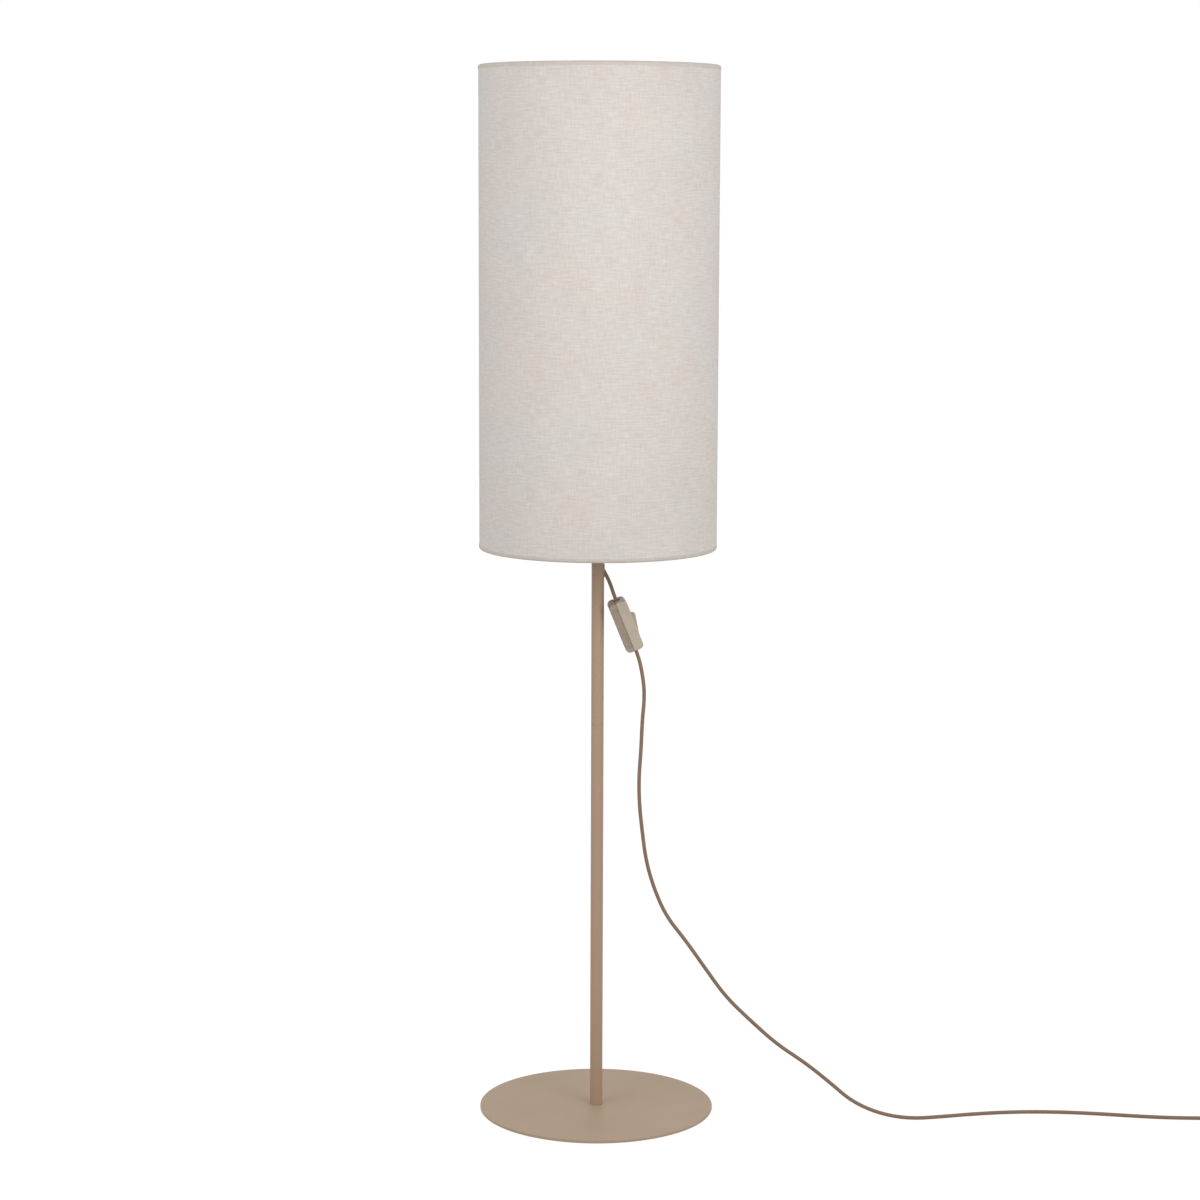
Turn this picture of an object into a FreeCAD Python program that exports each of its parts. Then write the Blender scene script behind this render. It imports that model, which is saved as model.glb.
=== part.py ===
import FreeCAD, Part
import math
import os

# Column floor lamp: a tall fabric cylinder on a thin two-part pole with a round steel base.
# Millimetres.  Origin: centre of the underside, +Z up, +X is the side where the cord leaves
# the pole, and the front is at -Y.

Vector = FreeCAD.Vector
Rotation = FreeCAD.Rotation
UP = Vector(0, 0, 1)

# ------------------------------------------------------------------ driving dimensions

# Base
base_diameter = 300.0
plate_thickness = 3.5
plate_edge_round = 0.6
pad_thickness = 1.0
pad_inset = 3.0
pad_hole_diameter = 18.0
base_screw_diameter = 6.0
base_screw_head_diameter = 12.0
base_screw_head_height = 3.0
base_screw_length = 15.0
base_screw_socket_width = 4.0
base_screw_socket_depth = 1.8

# Pole
pole_diameter = 16.0
pole_wall = 1.2
section_length = 500.0
joint_chamfer = 0.3
insert_length = 14.0
joint_stud_diameter = 10.0
joint_stud_length = 22.0
nipple_bore = 7.0
nipple_length = 21.0
nipple_in_cap = 9.0

# Cord exit in the upper pole section
cord_diameter = 4.8
exit_height = 701.5
exit_slope = 60.0
exit_slot_width = 7.6
exit_slot_height = 13.6
grommet_wall = 1.0
grommet_lip = 1.2
grommet_lip_depth = 0.7
grommet_inner_depth = 0.8

# Lampholder, for a screw base of 27 mm
cap_height = 18.0
cap_diameter = 38.0
cap_foot_diameter = 22.0
cap_cone_height = 7.0
cap_wall = 2.0
cap_boss_diameter = 16.0
holder_flange_diameter = 45.0
holder_flange_thickness = 2.5
holder_thread_diameter = 39.0
holder_body_height = 37.5
holder_lip_diameter = 37.0
holder_lip_height = 3.0
holder_skirt_length = 5.0
holder_skirt_wall = 1.5
core_thickness = 10.0
core_drop = 4.0
core_web = 0.2
thread_groove_pitch = 3.0
thread_groove_depth = 0.4

# Shade ring on the lampholder
ring_height = 12.0
ring_collar_diameter = 47.0
ring_flange_diameter = 55.0
ring_flange_thickness = 2.5
ring_notches = 24
ring_notch_depth = 0.8

# Lamp (A60 shape)
bulb_diameter = 60.0
bulb_length = 108.0
bulb_cap_diameter = 26.0
bulb_cap_height = 20.0
bulb_neck_diameter = 29.0
bulb_housing_top_diameter = 54.0
bulb_shell_thickness = 1.2
bulb_tip_diameter = 9.5
bulb_tip_height = 1.8
bulb_insulator_height = 3.5

# Shade
shade_diameter = 300.0
shade_height = 600.0
fitter_recess = 295.0
skin_thickness = 0.8
seam_width = 12.0
seam_thickness = 0.35
trim_thickness = 0.4
trim_outside_width = 5.5
trim_inside_width = 8.5
hoop_wire = 3.5
hoop_gap = 0.5
arm_wire = 3.5
arm_count = 3
first_arm_azimuth = 90.0
arm_bend_radius = 12.0
arm_weld_depth = 0.8
arm_foot_lift = 0.6
fitter_bore = 41.0
fitter_diameter = 58.0
fitter_thickness = 1.5

# Switch on the cord
switch_centre = Vector(35.0, -1.0, 632.8)
switch_tilt = 21.7
switch_lean = 8.0
switch_turn = 4.0
switch_length = 67.5
switch_width = 27.0
switch_depth = 23.5
switch_back_depth = 9.8
switch_wall = 2.0
switch_corner = 1.8
switch_inner_corner = 1.0
switch_end_corner = 6.0
switch_groove = 0.35
switch_seam_width = 0.9
switch_seam_depth = 0.7
switch_rib_pitch = 2.4
switch_rib_width = 1.1
switch_rib_depth = 0.6
cord_hole_diameter = 6.0
cord_hole_offset = 2.4
cord_hole_reach = 2.4
upper_exit_run = 5.0
lower_exit_run = 9.5
grommet_run = 17.0
rocker_offset = -4.5
rocker_radius = 15.9
rocker_width = 13.0
rocker_rise = 2.0
rocker_throw = 21.0
rocker_pivot_depth = 4.0
rocker_belly = 3.4
rocker_pin_diameter = 3.0
rocker_pin_reach = 1.5
rocker_gap = 0.4
well_wall = 2.2
well_depth = 9.0
contact_blade_thickness = 0.5
contact_blade_width = 5.0
terminal_width = 6.0
terminal_depth = 6.0
terminal_length = 9.0
terminal_spacing = 22.0
terminal_side_offset = 5.5
terminal_drop = 10.0
terminal_screw_diameter = 2.6
terminal_screw_length = 4.0
clamp_distance = 28.5
clamp_width = 16.0
clamp_length = 5.0
clamp_thickness = 2.2
clamp_screw_diameter = 2.6
clamp_screw_spacing = 11.0
shell_screw_diameter = 2.8
shell_screw_head_diameter = 5.0
shell_screw_head_height = 1.8
shell_boss_diameter = 6.0
shell_screw_along = 20.0
shell_screw_across = 9.2
lead_diameter = 1.8

# Plug: flat two-pin
plug_width = 35.0
plug_rear_width = 17.0
plug_thickness = 13.8
plug_front_length = 9.0
plug_length = 36.0
plug_corner = 2.5
plug_dip = 1.6
plug_pin_diameter = 4.0
plug_pin_length = 19.0
plug_pin_spacing = 18.6
plug_pin_root = 8.0
plug_sleeve_length = 10.0
plug_sleeve_wall = 0.5
plug_sleeve_inset = 0.2
relief_length = 26.0
relief_rear_diameter = 6.2
relief_front_diameter = 10.0
relief_socket = 6.0
relief_ribs = 6
relief_rib_width = 1.3
relief_rib_depth = 0.6

# Coil of the spare cord and its tie
coil_turns = 5.25
coil_pitch = 5.3
coil_inner_radius = 20.5
coil_reversal_softness = 0.5
coil_entry_straight = 4.8
coil_approach = 48.0
coil_end_straight = 9.6
tie_thickness = 0.8
tie_width = 8.0
tie_azimuth = 135.0
tie_clearance = 0.6
floor_clearance = 0.1

# Clearances
press_clearance = 0.05
thread_clearance = 0.05
ring_clearance = 0.35
bulb_clearance = 0.4
running_clearance = 0.06
seat_gap = 0.1

# ------------------------------------------------------------------ derived places

pole_radius = pole_diameter / 2
pole_bore = pole_radius - pole_wall
cord_radius = cord_diameter / 2
plate_top = pad_thickness + plate_thickness
joint_z = plate_top + section_length
pole_top = joint_z + section_length
body_z = pole_top + cap_height
fitter_z = body_z + holder_flange_thickness
ring_z = fitter_z + fitter_thickness + seat_gap
holder_top = body_z + holder_body_height
core_z = body_z + core_drop
tip_z = core_z + core_thickness + core_web + contact_blade_thickness + seat_gap
shade_bottom = fitter_z - fitter_recess
shade_top = shade_bottom + shade_height

trim_radius = shade_diameter / 2
skin_radius = trim_radius - trim_thickness
skin_bore = skin_radius - skin_thickness
# The trim tape folds over the skin's edge and the hoop in a half circle.
fold_radius = (skin_thickness + hoop_wire) / 2 + hoop_gap
fold_centre_radius = skin_radius - fold_radius
hoop_radius = skin_bore - hoop_gap - hoop_wire / 2
edge_drop = fold_radius + trim_thickness
arm_radius = hoop_radius - hoop_wire / 2 - arm_wire / 2 + 2 * arm_weld_depth

pieces = {}


# ------------------------------------------------------------------ shared shapes

def rod(diameter, bottom, top):
    """Round bar on the Z axis."""
    return Part.makeCylinder(diameter / 2, top - bottom, Vector(0, 0, bottom))


def pipe(outer_diameter, inner_diameter, bottom, top):
    """Round tube on the Z axis."""
    return rod(outer_diameter, bottom, top).cut(rod(inner_diameter, bottom - 1, top + 1))


def cone(bottom_diameter, top_diameter, bottom, top):
    """Frustum on the Z axis."""
    return Part.makeCone(bottom_diameter / 2, top_diameter / 2, top - bottom, Vector(0, 0, bottom))


def box(size_x, size_y, size_z, centre):
    """Block about its centre."""
    corner = centre - Vector(size_x, size_y, size_z) / 2
    return Part.makeBox(size_x, size_y, size_z, corner)


def turned(outline):
    """Solid of revolution about Z from an outline of (radius, z) points."""
    points = [Vector(radius, 0, z) for radius, z in outline]
    face = Part.Face(Part.makePolygon(points + points[:1]))
    return face.revolve(Vector(0, 0, 0), UP, 360)


def drilled_side(shape, diameter, start, direction, length):
    """The shape with a round hole along any direction."""
    return shape.cut(Part.makeCylinder(diameter / 2, length, start, direction))


def hexagon(across_flats, bottom, top):
    """Hexagonal prism on the Z axis."""
    reach = across_flats / math.sqrt(3)
    corners = [Vector(reach * math.cos(k * math.pi / 3), reach * math.sin(k * math.pi / 3), bottom)
               for k in range(7)]
    return Part.Face(Part.makePolygon(corners)).extrude(Vector(0, 0, top - bottom))


def polar(radius, azimuth, z=0.0):
    """Point at an azimuth in degrees about the pole."""
    angle = math.radians(azimuth)
    return Vector(radius * math.cos(angle), radius * math.sin(angle), z)


def union(shapes):
    """One solid from touching or crossing ones."""
    whole = shapes[0]
    for shape in shapes[1:]:
        whole = whole.fuse(shape)
    return whole.removeSplitter()


def arc_edge(start, tangent, end):
    """Circular arc that leaves start along the tangent and reaches end."""
    chord = end - start
    angle = tangent.getAngle(chord)
    if angle < 1e-6:
        return Part.LineSegment(start, end).toShape()
    corner_side = tangent * (chord.Length / 2 / math.cos(angle)) + start
    middle = (start + end) / 2
    rise = corner_side - middle
    rise.normalize()
    crown = middle + rise * (chord.Length / 2 * math.tan(angle / 2))
    return Part.Arc(start, crown, end).toShape()


def rounded_path(points):
    """Edges of straight runs joined by the largest tangent arcs that both runs allow."""
    edges = []
    radii = []
    start = points[0]
    for before, corner, after in zip(points, points[1:], points[2:]):
        arriving = corner - before
        leaving = after - corner
        reach = 0.45 * min(arriving.Length, leaving.Length)
        arriving.normalize()
        leaving.normalize()
        half_turn = arriving.getAngle(leaving) / 2
        arc_start = corner - arriving * reach
        arc_end = corner + leaving * reach
        edges.append(Part.LineSegment(start, arc_start).toShape())
        edges.append(arc_edge(arc_start, arriving, arc_end))
        radii.append(reach / math.tan(half_turn))
        start = arc_end
    edges.append(Part.LineSegment(start, points[-1]).toShape())
    return edges, radii


def swept(edges, diameter):
    """Round tube along a chain of edges, and the chain's length."""
    path = Part.Wire(edges)
    first = edges[0]
    tangent = first.tangentAt(first.FirstParameter)
    circle = Part.makeCircle(diameter / 2, first.valueAt(first.FirstParameter), tangent)
    solid = path.makePipeShell([Part.Wire([circle])], True, False)
    return solid, path.Length


def flex(name, points, diameter):
    """Tube along hand-chosen points; prints its radii and checks its volume."""
    edges, radii = rounded_path(points)
    solid, length = swept(edges, diameter)
    expected = math.pi * diameter ** 2 / 4 * length
    print(name, "length %.1f" % length, "least radius %.1f" % min(radii),
          "volume ratio %.4f" % (solid.Volume / expected))
    print("   radii", " ".join("%.0f" % radius for radius in radii))
    return solid


def placed(shape, origin, rotation):
    """A copy of the shape, turned about its own origin and moved."""
    copy = shape.copy()
    copy.Placement = FreeCAD.Placement(origin, rotation).multiply(copy.Placement)
    return copy


def keep(node, *solids):
    """Registers the solids of one node."""
    pieces[node] = list(solids)


# ------------------------------------------------------------------ base

def make_base():
    """Steel disc with a countersunk screw into the pole and a soft pad under it."""
    plate = rod(base_diameter, pad_thickness, plate_top)
    rims = [edge for edge in plate.Edges if edge.Closed and edge.BoundBox.XLength > base_diameter / 2]
    plate = plate.makeFillet(plate_edge_round, rims)
    hole = base_screw_diameter + 2 * thread_clearance
    sink = base_screw_head_diameter + 8 * thread_clearance
    sink_depth = base_screw_head_height + seat_gap
    plate = plate.cut(rod(hole, 0, plate_top + 1))
    plate = plate.cut(cone(sink, hole, pad_thickness, pad_thickness + sink_depth))
    keep("base_plate", plate)

    keep("base_pad", pipe(base_diameter - 2 * pad_inset, pad_hole_diameter, 0, pad_thickness))

    bottom = pad_thickness + seat_gap
    head = cone(base_screw_head_diameter, base_screw_diameter, bottom, bottom + base_screw_head_height)
    shank = rod(base_screw_diameter, bottom + base_screw_head_height / 2, bottom + base_screw_length)
    socket = hexagon(base_screw_socket_width, bottom - 1, bottom + base_screw_socket_depth)
    keep("base_screw", union([head, shank]).cut(socket))


# ------------------------------------------------------------------ pole

def pole_insert(bottom, top, bore):
    """Threaded bush pressed into a pole end."""
    return pipe(2 * (pole_bore - press_clearance), bore, bottom, top)


def pole_section(bottom, top):
    """Pole tube with a fine chamfer at both ends."""
    tube = pipe(pole_diameter, 2 * pole_bore, bottom, top)
    rims = [edge for edge in tube.Edges
            if edge.Closed and abs(edge.BoundBox.XLength - pole_diameter) < 0.01]
    return tube.makeChamfer(joint_chamfer, rims)


def exit_slot(width, height, near, far):
    """Upright slot prism along +X at the cord exit, round at its top and bottom."""
    straight = height - width
    length = far - near
    ends = [Part.makeCylinder(width / 2, length, Vector(near, 0, exit_height + side * straight / 2),
                              Vector(1, 0, 0)) for side in (-1, 1)]
    middle = Part.makeBox(length, width, straight, Vector(near, -width / 2, exit_height - straight / 2))
    return union([ends[0], middle, ends[1]])


def exit_direction():
    """The way the cord leaves the pole: outwards and steeply down."""
    slope = math.radians(exit_slope)
    return Vector(math.cos(slope), 0, -math.sin(slope))


def make_pole():
    """Two equal tubes on a stud, threaded bushes, and a hollow nipple at the top."""
    bush_bore = joint_stud_diameter + 2 * thread_clearance
    keep("lower_tube", pole_section(plate_top, joint_z))
    foot_bore = base_screw_diameter + 2 * thread_clearance
    keep("foot_bush", pole_insert(plate_top, plate_top + insert_length, foot_bore))
    keep("lower_joint_bush", pole_insert(joint_z - insert_length, joint_z, bush_bore))
    keep("upper_joint_bush", pole_insert(joint_z, joint_z + insert_length, bush_bore))
    keep("joint_stud", rod(joint_stud_diameter, joint_z - joint_stud_length / 2,
                           joint_z + joint_stud_length / 2))
    upper = pole_section(joint_z, pole_top)
    slot = exit_slot(exit_slot_width, exit_slot_height, 0, pole_diameter)
    keep("upper_tube", upper.cut(slot))
    keep("top_bush", pole_insert(pole_top - insert_length, pole_top, bush_bore))
    nipple_top = pole_top + nipple_in_cap
    keep("hollow_nipple", pipe(joint_stud_diameter, nipple_bore, nipple_top - nipple_length, nipple_top))


def make_grommet():
    """Rubber liner of the exit slot: a lip outside, a lip inside, and a sloping bore."""
    gap = 2 * press_clearance
    throat = exit_slot(exit_slot_width - gap, exit_slot_height - gap, 0, pole_diameter)
    throat = throat.common(pipe(2 * pole_radius + 2 * grommet_lip_depth,
                                2 * (pole_bore - grommet_inner_depth), exit_height - 20, exit_height + 20))
    flange = exit_slot(exit_slot_width + 2 * grommet_lip, exit_slot_height + 2 * grommet_lip,
                       0, pole_diameter)
    outside = flange.common(pipe(2 * (pole_radius + grommet_lip_depth), 2 * (pole_radius + press_clearance),
                                 exit_height - 20, exit_height + 20))
    inside = flange.common(pipe(2 * (pole_bore - press_clearance), 2 * (pole_bore - grommet_inner_depth),
                                exit_height - 20, exit_height + 20))
    body = union([throat, outside, inside])
    way = exit_direction()
    middle = Vector(pole_radius - pole_wall / 2, 0, exit_height)
    bore = cord_diameter + 2 * press_clearance
    keep("cord_grommet", drilled_side(body, bore, middle - way * 20, way, 40))


# ------------------------------------------------------------------ lampholder

def grooved(diameter, bottom, top):
    """Cylinder with the ring grooves that stand for its screw thread."""
    body = rod(diameter, bottom, top)
    count = int((top - bottom) / thread_groove_pitch)
    for index in range(count):
        middle = bottom + (index + 0.5) * thread_groove_pitch
        groove = pipe(diameter + 2, diameter - 2 * thread_groove_depth,
                      middle - thread_groove_pitch / 4, middle + thread_groove_pitch / 4)
        body = body.cut(groove)
    return body


def make_lampholder():
    """Cap on the nipple, threaded body, contact core, contacts, terminals and leads."""
    foot = cap_foot_diameter / 2
    wide = cap_diameter / 2
    chamber = wide - cap_wall
    boss = cap_boss_diameter / 2
    bore = joint_stud_diameter / 2 + thread_clearance
    boss_top = pole_top + nipple_in_cap
    floor = pole_top + 2 * cap_wall
    cap = turned([(bore, pole_top), (foot, pole_top), (wide, pole_top + cap_cone_height), (wide, body_z),
                  (chamber, body_z), (chamber, pole_top + cap_cone_height + cap_wall),
                  (foot, floor), (boss, floor), (boss, boss_top), (bore, boss_top)])
    keep("holder_cap", cap)

    flange = rod(holder_flange_diameter, body_z, fitter_z)
    threaded = grooved(holder_thread_diameter, fitter_z, holder_top - holder_lip_height)
    lip = cone(holder_thread_diameter - 2 * thread_groove_depth, holder_lip_diameter,
               holder_top - holder_lip_height, holder_top)
    skirt_diameter = 2 * (chamber - press_clearance)
    skirt = rod(skirt_diameter, body_z - holder_skirt_length, body_z)
    core_top = core_z + core_thickness + core_web
    bulb_bore = bulb_cap_diameter + 2 * bulb_clearance
    core_chamber = skirt_diameter - 2 * holder_skirt_wall
    body = union([skirt, flange, threaded, lip])
    body = body.cut(rod(core_chamber, body_z - holder_skirt_length - 1, core_top))
    body = body.cut(rod(bulb_bore, core_top - 1, holder_top + 1))
    keep("holder_body", body)

    core = rod(core_chamber - 2 * press_clearance, core_z, core_z + core_thickness)
    terminal_reach = core_chamber / 4
    for side in (-1, 1):
        well = Part.makeCylinder(terminal_screw_diameter / 2 + press_clearance, terminal_screw_length,
                                 Vector(side * terminal_reach, 0, core_z))
        core = core.cut(well)
    keep("contact_core", core)

    screws = []
    for side in (-1, 1):
        foot_point = Vector(side * terminal_reach, 0, core_z - seat_gap - clamp_thickness / 2)
        head = Part.makeCylinder(terminal_screw_diameter, clamp_thickness / 2, foot_point)
        shank = Part.makeCylinder(terminal_screw_diameter / 2, terminal_screw_length, foot_point)
        screws.append(union([head, shank]))
    keep("holder_terminal_screws", *screws)

    contact_z = core_z + core_thickness + core_web
    blade = box(bulb_cap_diameter / 2, contact_blade_width, contact_blade_thickness,
                Vector(0, 0, contact_z + contact_blade_thickness / 2))
    rivet = rod(contact_blade_width / 2, core_z + core_thickness, contact_z)
    keep("centre_contact", union([blade, rivet]))

    cord_end = pole_top + nipple_in_cap + 1
    leads = []
    for side in (-1, 1):
        start = Vector(side * lead_diameter / 2 * 1.15, 0, cord_end)
        beside = terminal_reach + terminal_screw_diameter + lead_diameter / 2 + press_clearance
        end = Vector(side * beside, 0, core_z - seat_gap)
        knee = start + UP * 4.5
        shoulder = end - UP * 4.0
        leads.append(swept(rounded_path([start, knee, shoulder, end])[0], lead_diameter)[0])
    keep("holder_leads", *leads)


def make_shade_ring():
    """Screwed ring that clamps the shade on the lampholder, with finger notches round its collar."""
    bore = holder_thread_diameter + 2 * ring_clearance
    flange = rod(ring_flange_diameter, ring_z, ring_z + ring_flange_thickness)
    collar = rod(ring_collar_diameter, ring_z, ring_z + ring_height)
    ring = union([flange, collar]).cut(rod(bore, ring_z - 1, ring_z + ring_height + 1))
    low = ring_z + ring_flange_thickness + 1
    for index in range(ring_notches):
        azimuth = index * 360 / ring_notches
        centre = polar(ring_collar_diameter / 2 + ring_notch_depth / 2, azimuth, low)
        ring = ring.cut(Part.makeCylinder(ring_notch_depth * 1.4, ring_height, centre))
    keep("shade_ring", ring)


# ------------------------------------------------------------------ lamp

def make_bulb():
    """Screw-base lamp: contact tip, insulator, cap, housing and opal dome."""
    tip_top = tip_z + bulb_tip_height
    cap_z = tip_top + bulb_insulator_height
    cap_top = cap_z + bulb_cap_height
    bulb_top = tip_z + bulb_length
    dome_z = bulb_top - bulb_diameter / 2
    keep("bulb_tip", cone(bulb_tip_diameter * 0.7, bulb_tip_diameter, tip_z, tip_top))
    keep("bulb_insulator", cone(bulb_tip_diameter, bulb_cap_diameter - 2, tip_top, cap_z))
    keep("bulb_cap", grooved(bulb_cap_diameter, cap_z, cap_top))

    # The housing meets the dome where the sphere is as wide as the housing's rim.
    rim = bulb_housing_top_diameter / 2
    rim_z = dome_z - math.sqrt((bulb_diameter / 2) ** 2 - rim ** 2)
    housing = cone(bulb_neck_diameter, bulb_housing_top_diameter, cap_top, rim_z)
    keep("bulb_housing", housing)

    centre = Vector(0, 0, dome_z)
    ball = Part.makeSphere(bulb_diameter / 2, centre)
    hollow = Part.makeSphere(bulb_diameter / 2 - bulb_shell_thickness, centre)
    above = rod(bulb_diameter + 2, rim_z, bulb_top + 1)
    keep("bulb_dome", ball.cut(hollow).common(above))


# ------------------------------------------------------------------ shade

def folded_trim(edge_z, inward):
    """Tape that wraps the hoop and the skin's edge; inward is +1 at the bottom, -1 at the top."""
    outer_radius = fold_radius + trim_thickness
    centre_z = edge_z + inward * outer_radius
    outside_end = edge_z + inward * trim_outside_width
    inside_end = edge_z + inward * trim_inside_width

    def leg(radius, start, end):
        return Part.LineSegment(Vector(radius, 0, start), Vector(radius, 0, end)).toShape()

    def fold(radius):
        near = Vector(fold_centre_radius + radius, 0, centre_z)
        crown = Vector(fold_centre_radius, 0, centre_z - inward * radius)
        far = Vector(fold_centre_radius - radius, 0, centre_z)
        return Part.Arc(near, crown, far).toShape()

    def across(radius, z):
        return Part.LineSegment(Vector(radius, 0, z), Vector(radius + trim_thickness, 0, z)).toShape()

    outer = fold_centre_radius + outer_radius
    inner = fold_centre_radius - outer_radius
    outline = Part.Wire(Part.__sortEdges__([
        leg(outer, outside_end, centre_z),
        fold(outer_radius),
        leg(inner, centre_z, inside_end),
        across(inner, inside_end),
        leg(inner + trim_thickness, inside_end, centre_z),
        fold(fold_radius),
        leg(outer - trim_thickness, centre_z, outside_end),
        across(outer - trim_thickness, outside_end)]))
    return Part.Face(outline).revolve(Vector(0, 0, 0), UP, 360)


def make_shade():
    """Laminated skin, two wire hoops, folded trims, three arms and the fitter plate."""
    skin_bottom = shade_bottom + edge_drop
    skin_top = shade_top - edge_drop
    skin = pipe(2 * skin_radius, 2 * skin_bore, skin_bottom, skin_top)
    seam_bottom = shade_bottom + trim_outside_width + seat_gap
    seam_top = shade_top - trim_outside_width - seat_gap
    seam = pipe(2 * (skin_radius + seam_thickness), 2 * (skin_radius - skin_thickness / 2),
                seam_bottom, seam_top)
    strip = box(seam_width, skin_radius, shade_height,
                Vector(0, skin_radius, shade_bottom + shade_height / 2))
    keep("shade_skin", union([skin, seam.common(strip)]))

    for name, z in (("bottom_hoop", skin_bottom), ("top_hoop", skin_top)):
        keep(name, Part.makeTorus(hoop_radius, hoop_wire / 2, Vector(0, 0, z)))

    bottom_trim = folded_trim(shade_bottom, 1)
    keep("top_trim", folded_trim(shade_top, -1))

    arm_z = fitter_z + fitter_thickness / 2
    arms = []
    for index in range(arm_count):
        azimuth = first_arm_azimuth + index * 360 / arm_count
        way = polar(1, azimuth)
        reach = way * (fitter_diameter / 2 - arm_weld_depth)
        bend = way * (arm_radius - arm_bend_radius)
        inner_end = Vector(reach.x, reach.y, arm_z)
        bend_start = Vector(bend.x, bend.y, arm_z)
        bend_end = polar(arm_radius, azimuth, arm_z - arm_bend_radius)
        foot = polar(arm_radius, azimuth, skin_bottom + arm_foot_lift)
        edges = [Part.LineSegment(inner_end, bend_start).toShape(),
                 arc_edge(bend_start, way, bend_end),
                 Part.LineSegment(bend_end, foot).toShape()]
        arms.append(swept(edges, arm_wire)[0])
        notch_foot = polar(arm_radius, azimuth, skin_bottom + arm_foot_lift / 2)
        notch = Part.makeCylinder(arm_wire / 2 + 2 * press_clearance, trim_inside_width, notch_foot)
        bottom_trim = bottom_trim.cut(notch)
    keep("carrier_arms", *arms)
    keep("bottom_trim", bottom_trim)
    keep("fitter_plate", pipe(fitter_diameter, fitter_bore, fitter_z, fitter_z + fitter_thickness))


# ------------------------------------------------------------------ switch

# In the switch's own frame +Z runs along the cord towards the pole, +X is the way the rocker
# faces, and the origin is the middle of the body.
switch_rotation = Rotation(Vector(0, 1, 0), -switch_tilt)
switch_rotation = switch_rotation.multiply(Rotation(Vector(1, 0, 0), switch_lean))
switch_rotation = switch_rotation.multiply(Rotation(UP, switch_turn))
front_x = switch_depth / 2
back_x = -switch_depth / 2
parting_x = back_x + switch_back_depth
pivot_x = front_x - rocker_pivot_depth
cord_x = parting_x + cord_hole_offset


def in_switch(shape):
    """A switch piece moved from the switch's own frame to its place on the cord."""
    return placed(shape, switch_centre, switch_rotation)


def switch_point(x, y, z):
    """A point of the switch's own frame, in the lamp's frame."""
    return switch_centre + switch_rotation.multVec(Vector(x, y, z))


def switch_block(shrink, corner):
    """The switch's form drawn in by shrink all round, with its long edges rounded."""
    block = box(switch_depth - 2 * shrink, switch_width - 2 * shrink, switch_length - 2 * shrink,
                Vector(0, 0, 0))
    across = [edge for edge in block.Edges if edge.BoundBox.YLength > switch_width / 2]
    block = block.makeFillet(switch_end_corner - shrink, across)
    rest = [edge for edge in block.Edges if edge.BoundBox.YLength < switch_width / 2
            or abs(abs(edge.valueAt(edge.FirstParameter).y) - switch_width / 2 + shrink) < 0.01]
    flat = [edge for edge in rest if edge.BoundBox.YLength < 0.01]
    return block.makeFillet(corner, flat)


def half_space(low_x, high_x):
    """Slab that keeps one shell's share of the switch."""
    return Part.makeBox(high_x - low_x, 2 * switch_width, 2 * switch_length,
                        Vector(low_x, -switch_width, -switch_length))


def cord_holes():
    """The cord's way through both ends of the switch, wider towards the front in the end walls."""
    long_way = rod(cord_hole_diameter, -switch_length, switch_length)
    long_way.translate(Vector(cord_x, 0, 0))
    ways = [long_way]
    for end in (-1, 1):
        middle = end * switch_length / 2
        slot = rod(cord_hole_diameter, middle - 2 * switch_wall, middle + 2 * switch_wall)
        slot.translate(Vector(cord_x + cord_hole_reach, 0, 0))
        bridge = box(cord_hole_reach, cord_hole_diameter, 4 * switch_wall,
                     Vector(cord_x + cord_hole_reach / 2, 0, middle))
        ways += [slot, bridge]
    return union(ways)


def shell_screw_places():
    """Two closing screws, diagonally across the cord."""
    return [(shell_screw_across, shell_screw_along), (-shell_screw_across, -shell_screw_along)]


def along_x(diameter, low_x, high_x, y, z):
    """Round bar across the switch, along its X."""
    return Part.makeCylinder(diameter / 2, high_x - low_x, Vector(low_x, y, z), Vector(1, 0, 0))


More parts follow.
